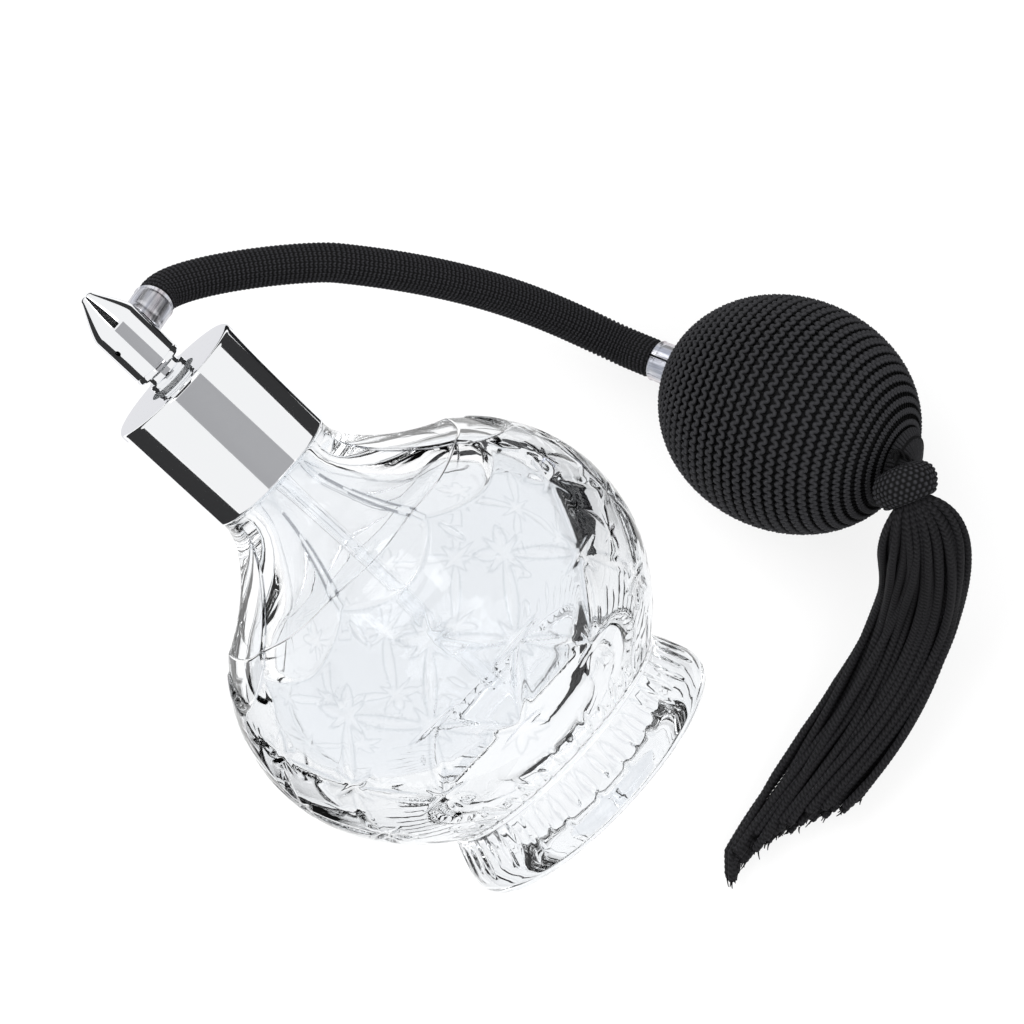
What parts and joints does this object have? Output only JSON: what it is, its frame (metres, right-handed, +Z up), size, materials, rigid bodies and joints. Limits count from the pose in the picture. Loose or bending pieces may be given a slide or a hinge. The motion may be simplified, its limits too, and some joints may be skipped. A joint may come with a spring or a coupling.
{
  "type": "perfume bottle",
  "caption": "Squeeze-bulb perfume atomizer: footed cut-glass bottle, chrome screw collar and bullet head, knitted hose, netted rubber bulb with a tassel, lying on its side.",
  "frame": {"origin": "middle of the underside of the whole object's box, on the table it lies on", "axes": "+Z up from the table, +X from the nozzle side of the object towards its bulb, +Y from the foot side towards the hose; the bottle lies with its nozzle raised and pointing to -X +Y"},
  "size_m": [0.1542, 0.1148, 0.0788],
  "materials": {
    "clear_glass": "pressed and cut clear glass, faintly blue-white, polished",
    "chrome": "bright chrome plate, mirror polished",
    "ferrule_metal": "thin rolled aluminium band with a seam",
    "white_plastic": "moulded, fine satin",
    "clear_plastic": "extruded, translucent",
    "gasket_rubber": "soft moulded rubber",
    "black_rubber": "matt moulded rubber",
    "black_knit": "tightly knitted matt black yarn",
    "black_cord": "twisted matt black cord",
    "steel": "turned and polished steel"
  },
  "bodies": {
    "bottle": {"bottle": "clear_glass"},
    "stem": {"stem_housing": "white_plastic", "dip_tube": "clear_plastic", "neck_gasket": "gasket_rubber"},
    "collar": {"collar_shell": "chrome", "collar_insert": "white_plastic"},
    "head": {"head_shell": "chrome", "head_ring": "chrome", "head_core": "white_plastic", "nozzle_insert": "steel", "hose_barb": "steel", "head_ferrule": "ferrule_metal", "stem_oring": "gasket_rubber"},
    "hose": {"hose_tube": "black_rubber", "hose_sleeve": "black_knit"},
    "bulb": {"bulb": "black_rubber", "bulb_net": "black_knit", "bulb_ferrule": "ferrule_metal", "bulb_barb": "steel", "valve_body": "steel", "valve_retainer": "steel", "net_tie": "black_cord", "tassel_loop": "black_cord"},
    "valve": {"valve_ball": "steel"},
    "tassel": {"tassel_knot": "black_cord", "tassel_binding": "black_cord", "tassel_fringe": "black_cord"}
  },
  "joints": [
    {"name": "cap_lift", "type": "slide", "parent": "bottle", "child": "stem", "axis": [-0.6914, 0.6336, 0.3471], "range_m": [0, 0.0045]},
    {"name": "collar_turn", "type": "hinge", "parent": "stem", "child": "collar", "pos_m": [-0.05351, 0.02262, 0.05804], "axis": [-0.6914, 0.6336, 0.3471], "range_deg": [0, 540]},
    {"name": "head_swivel", "type": "hinge", "parent": "stem", "child": "head", "pos_m": [-0.069, 0.03682, 0.06581], "axis": [-0.6914, 0.6336, 0.3471], "continuous": true},
    {"name": "hose_flex_head", "type": "hinge", "parent": "head", "child": "hose", "pos_m": [-0.05131, 0.05138, 0.04965], "axis": [0, 0, 1], "range_deg": [-5, 30], "deforming": ["hose_sleeve", "hose_tube"]},
    {"name": "hose_flex_bulb", "type": "hinge", "parent": "hose", "child": "bulb", "pos_m": [0.00473, 0.04779, 0.01293], "axis": [0, 0, 1], "range_deg": [-12, 25], "deforming": ["hose_sleeve", "hose_tube"]},
    {"name": "bulb_squeeze", "type": "slide", "parent": "bulb", "child": "valve", "axis": [0.8517, -0.3971, 0.342], "range_m": [0, 0.001]},
    {"name": "tassel_swing", "type": "hinge", "parent": "bulb", "child": "tassel", "pos_m": [0.06441, 0.01774, 0.0381], "axis": [0, 0, 1], "range_deg": [-8, 45]}
  ],
  "couplings": [
    {"joint": "cap_lift", "follows": "collar_turn", "m_per_rad": 0.00047746}
  ]
}
